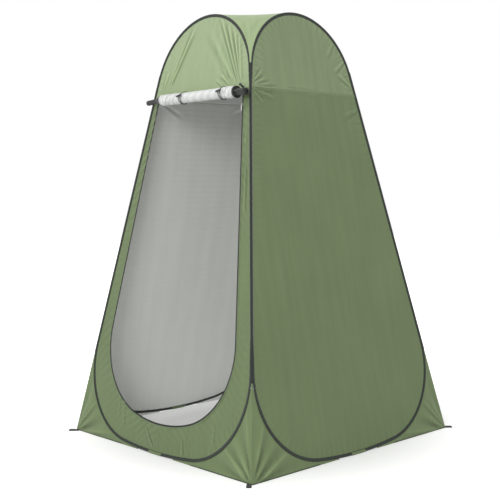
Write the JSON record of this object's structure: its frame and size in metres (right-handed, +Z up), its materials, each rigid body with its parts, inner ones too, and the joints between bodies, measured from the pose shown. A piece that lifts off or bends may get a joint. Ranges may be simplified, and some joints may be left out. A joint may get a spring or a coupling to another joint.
{
  "type": "privacy shower tent",
  "caption": "Square pop-up privacy shower tent of leaning cloth walls on sprung wire hoops, with a zipped doorway whose door is rolled up and tied above it.",
  "frame": {"origin": "on the ground, at the middle of the tent's square", "axes": "+Z up; -Y out of the doorway; +X to the right as seen when facing the doorway"},
  "size_m": [1.244, 1.2798, 1.8565],
  "materials": {
    "green_cloth": "satin",
    "silver_cloth": "satin",
    "black_tape": "matte",
    "black_plastic": "satin",
    "spring_steel": "satin",
    "zip_metal": "satin"
  },
  "bodies": {
    "front_wall": {"hoop_wire_front": "spring_steel", "hoop_ferrule_front": "spring_steel", "hoop_sleeve_front": "black_tape", "sleeve_cover_front": "green_cloth", "panel_front_upper": "green_cloth", "gusset_front_left": "green_cloth", "gusset_front_right": "green_cloth", "panel_front_door_surround": "green_cloth", "door_zip_tape": "black_tape", "zip_end_tab": "black_tape", "door_roll": "silver_cloth", "door_roll_end_left": "black_tape", "door_roll_end_right": "black_tape", "door_tie_left": "black_tape", "door_tie_right": "black_tape", "roof_panel": "green_cloth", "stake_loop_front_left": "black_tape", "stake_loop_front_right": "black_tape"},
    "right_wall": {"hoop_wire_right": "spring_steel", "hoop_ferrule_right": "spring_steel", "hoop_sleeve_right": "black_tape", "sleeve_cover_right": "green_cloth", "panel_right_upper": "green_cloth", "panel_right_lower": "green_cloth", "gusset_right_left": "green_cloth", "gusset_right_right": "green_cloth"},
    "back_wall": {"hoop_wire_back": "spring_steel", "hoop_ferrule_back": "spring_steel", "hoop_sleeve_back": "black_tape", "sleeve_cover_back": "green_cloth", "panel_back_upper": "green_cloth", "panel_back_lower": "green_cloth", "gusset_back_left": "green_cloth", "gusset_back_right": "green_cloth", "stake_loop_back_left": "black_tape", "stake_loop_back_right": "black_tape"},
    "left_wall": {"hoop_wire_left": "spring_steel", "hoop_ferrule_left": "spring_steel", "hoop_sleeve_left": "black_tape", "sleeve_cover_left": "green_cloth", "panel_left_upper": "green_cloth", "panel_left_lower": "green_cloth", "gusset_left_left": "green_cloth", "gusset_left_right": "green_cloth"},
    "zip_slider": {"zip_slider": "zip_metal"},
    "zip_pull": {"zip_pull": "zip_metal"},
    "toggle_left": {"toggle_bar_left": "black_plastic", "toggle_cord_left": "black_plastic"},
    "toggle_right": {"toggle_bar_right": "black_plastic", "toggle_cord_right": "black_plastic"}
  },
  "joints": [
    {"name": "main_fold", "type": "hinge", "parent": "front_wall", "child": "right_wall", "pos_m": [0.6, -0.6, 0], "axis": [-0.1785, 0.1785, 0.9676], "range_deg": [0, 75], "stiffness_Nm_per_rad": 1.2, "deforming": ["roof_panel"]},
    {"name": "left_fold", "type": "hinge", "parent": "front_wall", "child": "left_wall", "pos_m": [-0.6, -0.6, 0], "axis": [0.1785, 0.1785, 0.9676], "range_deg": [0, 75]},
    {"name": "back_fold", "type": "hinge", "parent": "right_wall", "child": "back_wall", "pos_m": [0.6, 0.6, 0], "axis": [0.1785, 0.1785, -0.9676], "range_deg": [0, 75]},
    {"name": "zip_travel", "type": "slide", "parent": "front_wall", "child": "zip_slider", "axis": [0.1323, -0.1798, -0.9748], "range_m": [0, 0.97]},
    {"name": "pull_swing", "type": "hinge", "parent": "zip_slider", "child": "zip_pull", "pos_m": [0.2875, -0.34105, 1.44703], "axis": [-0.9912, -0.024, -0.1301], "range_deg": [0, 165]},
    {"name": "toggle_turn_left", "type": "hinge", "parent": "front_wall", "child": "toggle_left", "pos_m": [-0.06621, -0.38517, 1.50873], "axis": [0, -0.9639, 0.2664], "range_deg": [-80, 50]},
    {"name": "toggle_turn_right", "type": "hinge", "parent": "front_wall", "child": "toggle_right", "pos_m": [0.19421, -0.38517, 1.50873], "axis": [0, -0.9639, 0.2664], "range_deg": [-80, 50]}
  ],
  "couplings": [
    {"joint": "left_fold", "follows": "main_fold", "ratio": 0.95},
    {"joint": "back_fold", "follows": "main_fold", "ratio": 1}
  ]
}
